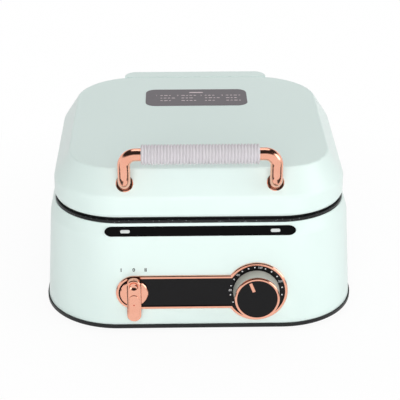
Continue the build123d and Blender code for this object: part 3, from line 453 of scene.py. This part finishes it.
# The plating has a faint spangle: patches about 3 mm across, bluish and yellowish by turns.
zinc, tree = finish_named("bright_zinc_plated_steel")
where = add(tree, "ShaderNodeTexCoord").outputs["Object"]
spangle = add(tree, "ShaderNodeTexVoronoi", {"Scale": 1 / spangle_size}, {"Vector": where})
tint = add(
    tree,
    "ShaderNodeMix",
    {"data_type": "RGBA", colour_a: paint("B9BDC2"), colour_b: paint("CCCBC4")},
    {0: spangle.outputs["Color"]},
)
rough = add(
    tree,
    "ShaderNodeMapRange",
    {"To Min": 0.26, "To Max": 0.4},
    {"Value": spangle.outputs["Color"]},
)
shader = add(
    tree,
    "ShaderNodeBsdfPrincipled",
    {"Metallic": 1.0},
    {"Base Color": tint.outputs[colour_out], "Roughness": rough.outputs["Result"]},
)
add(tree, "ShaderNodeOutputMaterial", {}, {"Surface": shader.outputs[0]})
dress(zinc, "cover_screws", "tower_screws", "lower_shield_screws", "upper_shield_screws")
dress(zinc, "frame_screws", "ear_screws", "arm_screws", "handle_screws", "handle_washers")
dress(zinc, "hinge_pin", "pin_clips", "hinge_arm_left", "hinge_arm_right")
dress(zinc, "control_bracket", "thermostat", "thermostat_shaft", "switch_shaft")

# Hinge towers
# Two slotted brackets, die-cast in aluminium and screwed to the rear wall. The ends of the hinge's pin
# float up and down in their slots.
bead_size, relief = 1 * mm, 0.2 * mm
# Bead blasting leaves an even, dull grey. Its fine grain is drawn at 1 mm so that it shows.
blasted, tree = finish_named("bead_blasted_die_cast_aluminium")
where = add(tree, "ShaderNodeTexCoord").outputs["Object"]
beads = add(tree, "ShaderNodeTexNoise", {"Scale": 1 / bead_size, "Detail": 4}, {"Vector": where})
rough = add(tree, "ShaderNodeMapRange", {"To Min": 0.45, "To Max": 0.6}, {"Value": beads.outputs["Fac"]})
bump = add(tree, "ShaderNodeBump", {"Strength": 0.3, "Distance": relief}, {"Height": beads.outputs["Fac"]})
shader = add(
    tree,
    "ShaderNodeBsdfPrincipled",
    {"Base Color": paint("B4B6B8"), "Metallic": 1.0},
    {"Roughness": rough.outputs["Result"], "Normal": bump.outputs[0]},
)
add(tree, "ShaderNodeOutputMaterial", {}, {"Surface": shader.outputs[0]})
dress(blasted, "hinge_tower_left", "hinge_tower_right")

# Hinge bushes
# Two blocks of natural nylon, injection-moulded. They slide in the towers' slots and carry the pin that
# the lid turns on.
cloud_size = 2 * mm
# Nylon looks milky and waxy, with pale clouds 2 mm across and a soft highlight.
nylon, tree = finish_named("natural_nylon")
where = add(tree, "ShaderNodeTexCoord").outputs["Object"]
milk = add(tree, "ShaderNodeTexNoise", {"Scale": 1 / cloud_size, "Detail": 2}, {"Vector": where})
tint = add(
    tree,
    "ShaderNodeMix",
    {"data_type": "RGBA", colour_a: paint("DEDACC"), colour_b: paint("E9E6DB")},
    {0: milk.outputs["Fac"]},
)
shader = add(
    tree,
    "ShaderNodeBsdfPrincipled",
    {"Roughness": 0.45, "IOR": 1.53},
    {"Base Color": tint.outputs[colour_out]},
)
add(tree, "ShaderNodeOutputMaterial", {}, {"Surface": shader.outputs[0]})
dress(nylon, "hinge_bush_left", "hinge_bush_right")

# Power inlet blades
# Three blades of nickel-plated brass, stamped out and set in the floor of the inlet's socket, where a
# mains plug takes hold of them.
rub_gap, rub_run = 0.6 * mm, 20 * mm
# They are bright. A plug has left faint rubs along them, drawn 0.6 mm apart so that they show.
nickel, tree = finish_named("nickel_plated_brass")
where = add(tree, "ShaderNodeTexCoord").outputs["Object"]
stretch = (1 / rub_gap, 1 / rub_run, 1 / rub_gap)
along = add(tree, "ShaderNodeMapping", {"Scale": stretch}, {"Vector": where})
rubs = add(tree, "ShaderNodeTexNoise", {"Scale": 1, "Detail": 2}, {"Vector": along.outputs["Vector"]})
rough = add(tree, "ShaderNodeMapRange", {"To Min": 0.12, "To Max": 0.3}, {"Value": rubs.outputs["Fac"]})
shader = add(
    tree,
    "ShaderNodeBsdfPrincipled",
    {"Base Color": paint("D8D4C8"), "Metallic": 1.0},
    {"Roughness": rough.outputs["Result"]},
)
add(tree, "ShaderNodeOutputMaterial", {}, {"Surface": shader.outputs[0]})
dress(nickel, "inlet_blades")

# Control panel and knob face
# Both are moulded in gloss black acrylic. The panel is let into the front wall inside its frame, and the
# knob's round face is pressed into its ring.
swell_length, haze_size, relief = 12 * mm, 30 * mm, 0.4 * mm
# They mirror the room darkly, and moulding leaves a faint swell about 12 mm long in the reflection.
acrylic, tree = finish_named("gloss_black_acrylic")
where = add(tree, "ShaderNodeTexCoord").outputs["Object"]
swell = add(tree, "ShaderNodeTexNoise", {"Scale": 1 / swell_length, "Detail": 1}, {"Vector": where})
haze = add(tree, "ShaderNodeTexNoise", {"Scale": 1 / haze_size, "Detail": 3}, {"Vector": where})
tint = add(
    tree,
    "ShaderNodeMix",
    {"data_type": "RGBA", colour_a: paint("0A0A0B"), colour_b: paint("121113")},
    {0: haze.outputs["Fac"]},
)
rough = add(tree, "ShaderNodeMapRange", {"To Min": 0.1, "To Max": 0.2}, {"Value": haze.outputs["Fac"]})
bump = add(tree, "ShaderNodeBump", {"Strength": 0.04, "Distance": relief}, {"Height": swell.outputs["Fac"]})
shader = add(
    tree,
    "ShaderNodeBsdfPrincipled",
    {"IOR": 1.49, "Specular IOR Level": 0.2},
    {
        "Base Color": tint.outputs[colour_out],
        "Roughness": rough.outputs["Result"],
        "Normal": bump.outputs[0],
    },
)
add(tree, "ShaderNodeOutputMaterial", {}, {"Surface": shader.outputs[0]})
dress(acrylic, "control_panel", "knob_cap")

# Indicator strip
# A strip of hard-coated polycarbonate, printed black on its back. It is let into the sloping shoulder of
# the base, above the controls.
haze_size = 20 * mm
# It is a deeper and quieter black than the panel, with a faint haze in patches 20 mm across.
coated, tree = finish_named("hard_coated_black_polycarbonate")
where = add(tree, "ShaderNodeTexCoord").outputs["Object"]
haze = add(tree, "ShaderNodeTexNoise", {"Scale": 1 / haze_size, "Detail": 3}, {"Vector": where})
tint = add(
    tree,
    "ShaderNodeMix",
    {"data_type": "RGBA", colour_a: paint("020203"), colour_b: paint("050505")},
    {0: haze.outputs["Fac"]},
)
rough = add(tree, "ShaderNodeMapRange", {"To Min": 0.14, "To Max": 0.24}, {"Value": haze.outputs["Fac"]})
shader = add(
    tree,
    "ShaderNodeBsdfPrincipled",
    {"IOR": 1.58, "Specular IOR Level": 0.06},
    {"Base Color": tint.outputs[colour_out], "Roughness": rough.outputs["Result"]},
)
add(tree, "ShaderNodeOutputMaterial", {}, {"Surface": shader.outputs[0]})
dress(coated, "indicator_strip")

# Indicator windows
# Two small windows of moulded polycarbonate, frosted on their faces. They are set in the strip, one over
# each lamp.
frost_size, relief = 0.8 * mm, 0.1 * mm
# Frosting makes them an even pale grey with the lamps off. Its grain is drawn at 0.8 mm to show.
frosted, tree = finish_named("frosted_polycarbonate")
where = add(tree, "ShaderNodeTexCoord").outputs["Object"]
frost = add(tree, "ShaderNodeTexNoise", {"Scale": 1 / frost_size, "Detail": 3}, {"Vector": where})
tint = add(
    tree,
    "ShaderNodeMix",
    {"data_type": "RGBA", colour_a: paint("C6CCCA"), colour_b: paint("DCE0DE")},
    {0: frost.outputs["Fac"]},
)
bump = add(tree, "ShaderNodeBump", {"Strength": 0.2, "Distance": relief}, {"Height": frost.outputs["Fac"]})
shader = add(
    tree,
    "ShaderNodeBsdfPrincipled",
    {"Roughness": 0.5, "IOR": 1.58},
    {"Base Color": tint.outputs[colour_out], "Normal": bump.outputs[0]},
)
add(tree, "ShaderNodeOutputMaterial", {}, {"Surface": shader.outputs[0]})
dress(frosted, "indicator_lens_left", "indicator_lens_right")

# Indicator lamps
# Neon bulbs of soda glass, drawn from tube. Each lies behind its window, in a clip that bears on the
# inside of the housing.
film_size = 2 * mm
# The glass is clear, faintly orange from the gas, with a film left by the heat in patches of 2 mm.
bulb, tree = finish_named("neon_lamp_glass")
where = add(tree, "ShaderNodeTexCoord").outputs["Object"]
film = add(tree, "ShaderNodeTexNoise", {"Scale": 1 / film_size, "Detail": 2}, {"Vector": where})
rough = add(tree, "ShaderNodeMapRange", {"To Min": 0.02, "To Max": 0.1}, {"Value": film.outputs["Fac"]})
shader = add(
    tree,
    "ShaderNodeBsdfPrincipled",
    {"Base Color": paint("F6D9C4"), "IOR": 1.52, "Transmission Weight": 0.9},
    {"Roughness": rough.outputs["Result"]},
)
add(tree, "ShaderNodeOutputMaterial", {}, {"Surface": shader.outputs[0]})
dress(bulb, "indicator_lamp_left", "indicator_lamp_right")

# Copper-coloured trim and handle rod
# The panel's frame, the knob's ring and pointer, the lever and its disc are zinc castings, and the bent
# rod and its collars are steel, screwed up from inside the lid. All are polished and plated rose gold.
hairline_gap, hairline_run, wear_size, relief = 0.7 * mm, 50 * mm, 15 * mm, 0.1 * mm
# Buffing leaves hairlines that stretch the reflections slightly. They are drawn 0.7 mm apart so that
# they show.
rose, tree = finish_named("polished_rose_gold_plate")
where = add(tree, "ShaderNodeTexCoord").outputs["Object"]
stretch = (1 / hairline_run, 1 / hairline_gap, 1 / hairline_gap)
along = add(tree, "ShaderNodeMapping", {"Scale": stretch}, {"Vector": where})
buffing = add(tree, "ShaderNodeTexNoise", {"Scale": 1, "Detail": 2}, {"Vector": along.outputs["Vector"]})
wear = add(tree, "ShaderNodeTexNoise", {"Scale": 1 / wear_size, "Detail": 3}, {"Vector": where})
tint = add(
    tree,
    "ShaderNodeMix",
    {"data_type": "RGBA", colour_a: paint("EFA98F"), colour_b: paint("F8BBA3")},
    {0: wear.outputs["Fac"]},
)
rough = add(tree, "ShaderNodeMapRange", {"To Min": 0.1, "To Max": 0.2}, {"Value": buffing.outputs["Fac"]})
bump = add(
    tree,
    "ShaderNodeBump",
    {"Strength": 0.05, "Distance": relief},
    {"Height": buffing.outputs["Fac"]},
)
shader = add(
    tree,
    "ShaderNodeBsdfPrincipled",
    {"Metallic": 1.0},
    {
        "Base Color": tint.outputs[colour_out],
        "Roughness": rough.outputs["Result"],
        "Normal": bump.outputs[0],
    },
)
add(tree, "ShaderNodeOutputMaterial", {}, {"Surface": shader.outputs[0]})
dress(rose, "panel_bezel", "knob_ring", "knob_pointer", "lever_disc", "selector_lever")
dress(rose, "handle_rod", "handle_collar_left", "handle_collar_right")

# Knob skirt
# The hollow body of the knob, moulded in grey-green ABS. The hub inside it is pushed onto the spindle of
# the thermostat.
grain_size, patch_size, relief = 1.2 * mm, 12 * mm, 0.1 * mm
# Its matt grain is drawn at 1.2 mm so that it shows. Fingers have polished it a little, in patches
# 12 mm across.
grey_abs, tree = finish_named("moulded_grey_green_abs")
where = add(tree, "ShaderNodeTexCoord").outputs["Object"]
grain = add(tree, "ShaderNodeTexNoise", {"Scale": 1 / grain_size, "Detail": 3}, {"Vector": where})
handled = add(tree, "ShaderNodeTexNoise", {"Scale": 1 / patch_size, "Detail": 2}, {"Vector": where})
tint = add(
    tree,
    "ShaderNodeMix",
    {"data_type": "RGBA", colour_a: paint("BDBEB5"), colour_b: paint("C9C9C0")},
    {0: handled.outputs["Fac"]},
)
rough = add(tree, "ShaderNodeMapRange", {"To Min": 0.35, "To Max": 0.48}, {"Value": handled.outputs["Fac"]})
bump = add(tree, "ShaderNodeBump", {"Strength": 0.2, "Distance": relief}, {"Height": grain.outputs["Fac"]})
shader = add(
    tree,
    "ShaderNodeBsdfPrincipled",
    {"IOR": 1.54},
    {
        "Base Color": tint.outputs[colour_out],
        "Roughness": rough.outputs["Result"],
        "Normal": bump.outputs[0],
    },
)
add(tree, "ShaderNodeOutputMaterial", {}, {"Surface": shader.outputs[0]})
dress(grey_abs, "knob_skirt")

# Knob scale
# Pale ink, pad-printed on the black panel round the knob: plain numbers with dots between them. The ink
# is matt and about 0.05 mm thick.
hinges = {j["name"]: j for j in frame["record"]["behaviour"]["joints"]}
ink_film, letter_half_film = 0.05 * mm, 0.03 * mm
press_size = 1 * mm


def ink(name, hex_text):
    """Matt ink, slightly uneven where the pad pressed."""
    material, tree = finish_named(name)
    where = add(tree, "ShaderNodeTexCoord").outputs["Object"]
    press = add(tree, "ShaderNodeTexNoise", {"Scale": 1 / press_size, "Detail": 2}, {"Vector": where})
    rough = add(tree, "ShaderNodeMapRange", {"To Min": 0.5, "To Max": 0.7}, {"Value": press.outputs["Fac"]})
    shader = add(
        tree,
        "ShaderNodeBsdfPrincipled",
        {"Base Color": paint(hex_text)},
        {"Roughness": rough.outputs["Result"]},
    )
    add(tree, "ShaderNodeOutputMaterial", {}, {"Surface": shader.outputs[0]})
    return material


def wall_at(joint_name, above):
    """The leaning front wall at a control's axis: X to the right, Y up the wall, Z out of it."""
    joint = hinges[joint_name]
    out = Vector(joint["axis"]).normalized()
    right = Vector((1, 0, 0))
    up = out.cross(right)
    origin = Vector(joint["pos_m"]) - out * above
    return Matrix.Translation(origin) @ Matrix((right, up, out)).transposed().to_4x4()


def print_word(name, word, size, place, material, body, bold=0.0):
    """Flat letters, centred on a place."""
    letters = bpy.data.curves.new(name, "FONT")
    letters.body = word
    letters.size = size
    letters.align_x = "CENTER"
    letters.align_y = "CENTER"
    letters.extrude = letter_half_film
    letters.offset = bold
    flat = bpy.data.objects.new(name + "_letters", letters)
    bpy.context.scene.collection.objects.link(flat)
    bpy.context.view_layer.update()
    mesh = bpy.data.meshes.new_from_object(flat.evaluated_get(bpy.context.evaluated_depsgraph_get()))
    bpy.data.objects.remove(flat)
    mesh.transform(place)
    mesh.materials.clear()
    printed = set_down(name, mesh, material)
    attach(printed, body)


def print_shapes(name, outlines, place, material, body):
    """Flat printed shapes, each an outline of (x, y) points in metres."""
    work = bmesh.new()
    for outline in outlines:
        under = [work.verts.new((x, y, 0)) for x, y in outline]
        over = [work.verts.new((x, y, ink_film)) for x, y in outline]
        work.faces.new(under)
        work.faces.new(over)
        for i in range(len(outline)):
            j = (i + 1) % len(outline)
            work.faces.new((under[i], under[j], over[j], over[i]))
    bmesh.ops.recalc_face_normals(work, faces=work.faces)
    mesh = bpy.data.meshes.new(name)
    work.to_mesh(mesh)
    mesh.transform(place)
    printed = set_down(name, mesh, material)
    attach(printed, body)


def bar(x, y, length, width, steps=8):
    """Outline of a bar with round ends, centred on (x, y). One with no length is a dot."""
    radius = width / 2
    half = max(length / 2 - radius, 0)
    outline = []
    for middle, quarter in ((half, -0.5), (-half, 0.5)):
        for i in range(steps + 1 if half > 0 else steps):
            a = math.pi * (i / steps + quarter)
            outline.append((x + middle + radius * math.cos(a), y + radius * math.sin(a)))
    return outline


pale_ink = ink("pale_grey_pad_ink", "E4E3E4")
knob_wall = wall_at("knob_turn", 4 * mm)
panel_face = 0.83 * mm
scale_radius, dot_width, dot_steps, number_height = 29.2 * mm, 1.7 * mm, 6, 3.4 * mm
dots = []
for turn in (-117, -98, -76, -59, -33, -18, -4, 20, 35, 52, 81, 99):
    a = math.radians(turn)
    dots.append(bar(scale_radius * math.sin(a), scale_radius * math.cos(a), 0, dot_width, dot_steps))
spot = Matrix.Translation((0, 0, panel_face))
print_shapes("knob_scale_dots", dots, knob_wall @ spot, pale_ink, "base")
for turn, word in ((-87, "80"), (-46, "120"), (8, "160"), (66, "200")):
    a = math.radians(turn)
    spot = Matrix.Translation((scale_radius * math.sin(a), scale_radius * math.cos(a), panel_face))
    name = "knob_scale_" + word
    print_word(name, word, number_height, knob_wall @ spot, pale_ink, "base")

# Lever marks
# The three places of the selector lever, I, 0 and II, are pad-printed on the lacquered front wall above
# it. The ink is a matt dark grey, and its strokes are heavy.
dark_ink = ink("dark_grey_pad_ink", "2E3130")
lever_wall = wall_at("lever_turn", 3 * mm)
mark_height, stroke_gain, above_wall = 5.6 * mm, 0.22 * mm, 0.04 * mm
mark_spread, mark_row, mark_arch = 29 * mm, 26.2 * mm, 1 * mm
for turn, word, key in ((-29, "I", "one"), (0, "0", "off"), (27, "II", "two")):
    a = math.radians(turn)
    spot = Matrix.Translation((mark_spread * math.sin(a), mark_row + mark_arch * math.cos(a), above_wall))
    name = "lever_mark_" + key
    print_word(name, word, mark_height, lever_wall @ spot, dark_ink, "base", stroke_gain)

# Label plate
# A thin plate of brushed and anodised aluminium, tinted grey-mauve and glued into the lid's top. A bar,
# the numbers 1 to 4 and rows of dashes are printed on it in pale rose ink.
brush_gap, brush_run = 0.9 * mm, 60 * mm
# The brushing runs across and makes the plate softly streaked. It is drawn 0.9 mm apart to show.
plate, tree = finish_named("tinted_brushed_anodised_aluminium")
where = add(tree, "ShaderNodeTexCoord").outputs["Object"]
stretch = (1 / brush_run, 1 / brush_gap, 1 / brush_gap)
along = add(tree, "ShaderNodeMapping", {"Scale": stretch}, {"Vector": where})
brushing = add(tree, "ShaderNodeTexNoise", {"Scale": 1, "Detail": 3}, {"Vector": along.outputs["Vector"]})
tint = add(
    tree,
    "ShaderNodeMix",
    {"data_type": "RGBA", colour_a: paint("6D686C"), colour_b: paint("7B757A")},
    {0: brushing.outputs["Fac"]},
)
rough = add(tree, "ShaderNodeMapRange", {"To Min": 0.38, "To Max": 0.5}, {"Value": brushing.outputs["Fac"]})
shader = add(
    tree,
    "ShaderNodeBsdfPrincipled",
    {"Metallic": 0.25, "IOR": 1.5},
    {"Base Color": tint.outputs[colour_out], "Roughness": rough.outputs["Result"]},
)
add(tree, "ShaderNodeOutputMaterial", {}, {"Surface": shader.outputs[0]})
dress(plate, "label_plate")
rose_ink = ink("pale_rose_pad_ink", "DCCDD0")
low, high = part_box("label_plate")
middle = ((low[0] + high[0]) / 2, (low[1] + high[1]) / 2, high[2] + letter_half_film)
plate_middle = Matrix.Translation(middle)
title_row, title_length, title_width = 16.5 * mm, 17.5 * mm, 3.0 * mm
columns = (-44.5 * mm, -18.5 * mm, 10.5 * mm, 36.5 * mm)
dash_lengths = (3.2 * mm, 4.6 * mm, 2.6 * mm, 3.8 * mm)
top_row, row_pitch, row_count = 6.5 * mm, 8.8 * mm, 3
dash_width, dash_gap, dash_steps, fewest_dashes = 1.9 * mm, 1.4 * mm, 4, 3
number_height, number_aside = 5.0 * mm, 4.5 * mm
marks = [bar(0, title_row, title_length, title_width)]
for column, left in enumerate(columns):
    for row in range(row_count):
        x = left
        for n in range(fewest_dashes + (column + row) % 2):
            length = dash_lengths[(n + 2 * row + column) % len(dash_lengths)]
            marks.append(bar(x + length / 2, top_row - row * row_pitch, length, dash_width, dash_steps))
            x += length + dash_gap
print_shapes("label_marks", marks, plate_middle, rose_ink, "lid")
for column, left in enumerate(columns):
    place = plate_middle @ Matrix.Translation((left - number_aside, top_row, 0))
    name = "label_number_%d" % (column + 1)
    print_word(name, str(column + 1), number_height, place, rose_ink, "lid")

# Handle grip
# A moulded sleeve of pale lilac-grey silicone, pushed over the bar of the handle rod. It has 37 round
# ribs, 3.4 mm apart, and the narrow grooves between them gather shade.
bloom_size, relief = 4 * mm, 0.1 * mm
# Silicone is dull with a soft sheen, and a faint bloom lies on it in patches of 4 mm.
silicone, tree = finish_named("moulded_lilac_grey_silicone")
where = add(tree, "ShaderNodeTexCoord").outputs["Object"]
bloom = add(tree, "ShaderNodeTexNoise", {"Scale": 1 / bloom_size, "Detail": 3}, {"Vector": where})
tint = add(
    tree,
    "ShaderNodeMix",
    {"data_type": "RGBA", colour_a: paint("CCC8CC"), colour_b: paint("D6D2D6")},
    {0: bloom.outputs["Fac"]},
)
bump = add(tree, "ShaderNodeBump", {"Strength": 0.1, "Distance": relief}, {"Height": bloom.outputs["Fac"]})
shader = add(
    tree,
    "ShaderNodeBsdfPrincipled",
    {"Roughness": 0.55, "IOR": 1.43, "Sheen Weight": 0.15},
    {"Base Color": tint.outputs[colour_out], "Normal": bump.outputs[0]},
)
add(tree, "ShaderNodeOutputMaterial", {}, {"Surface": shader.outputs[0]})
low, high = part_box("handle_grip")
grip_y, grip_z = (low[1] + high[1]) / 2, (low[2] + high[2]) / 2
crest = (high[2] - low[2]) / 2
groove_depth, bore, crown = 1.9 * mm, 7.05 * mm, 0.7
ribs, steps, around = 37, 8, 72
pitch = (high[0] - low[0]) / ribs
profile = [(low[0], bore)]
for rib in range(ribs):
    for step in range(steps):
        t = step / steps
        rise = groove_depth * math.sin(math.pi * t) ** crown
        profile.append((low[0] + (rib + t) * pitch, crest - groove_depth + rise))
profile += [(high[0], crest - groove_depth), (high[0], bore)]
work = bmesh.new()
rings = []
for x, radius in profile:
    ring = []
    for i in range(around):
        a = math.tau * i / around
        ring.append(work.verts.new((x, grip_y + radius * math.cos(a), grip_z + radius * math.sin(a))))
    rings.append(ring)
for first, second in zip(rings, rings[1:] + rings[:1]):
    for i in range(around):
        j = (i + 1) % around
        work.faces.new((first[i], first[j], second[j], second[i]))
bmesh.ops.recalc_face_normals(work, faces=work.faces)
for face in work.faces:
    face.smooth = True
mesh = bpy.data.meshes.new("ribbed_grip")
work.to_mesh(mesh)
grip = set_down("ribbed_grip", mesh, silicone)
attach(grip, "lid")
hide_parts("handle_grip")
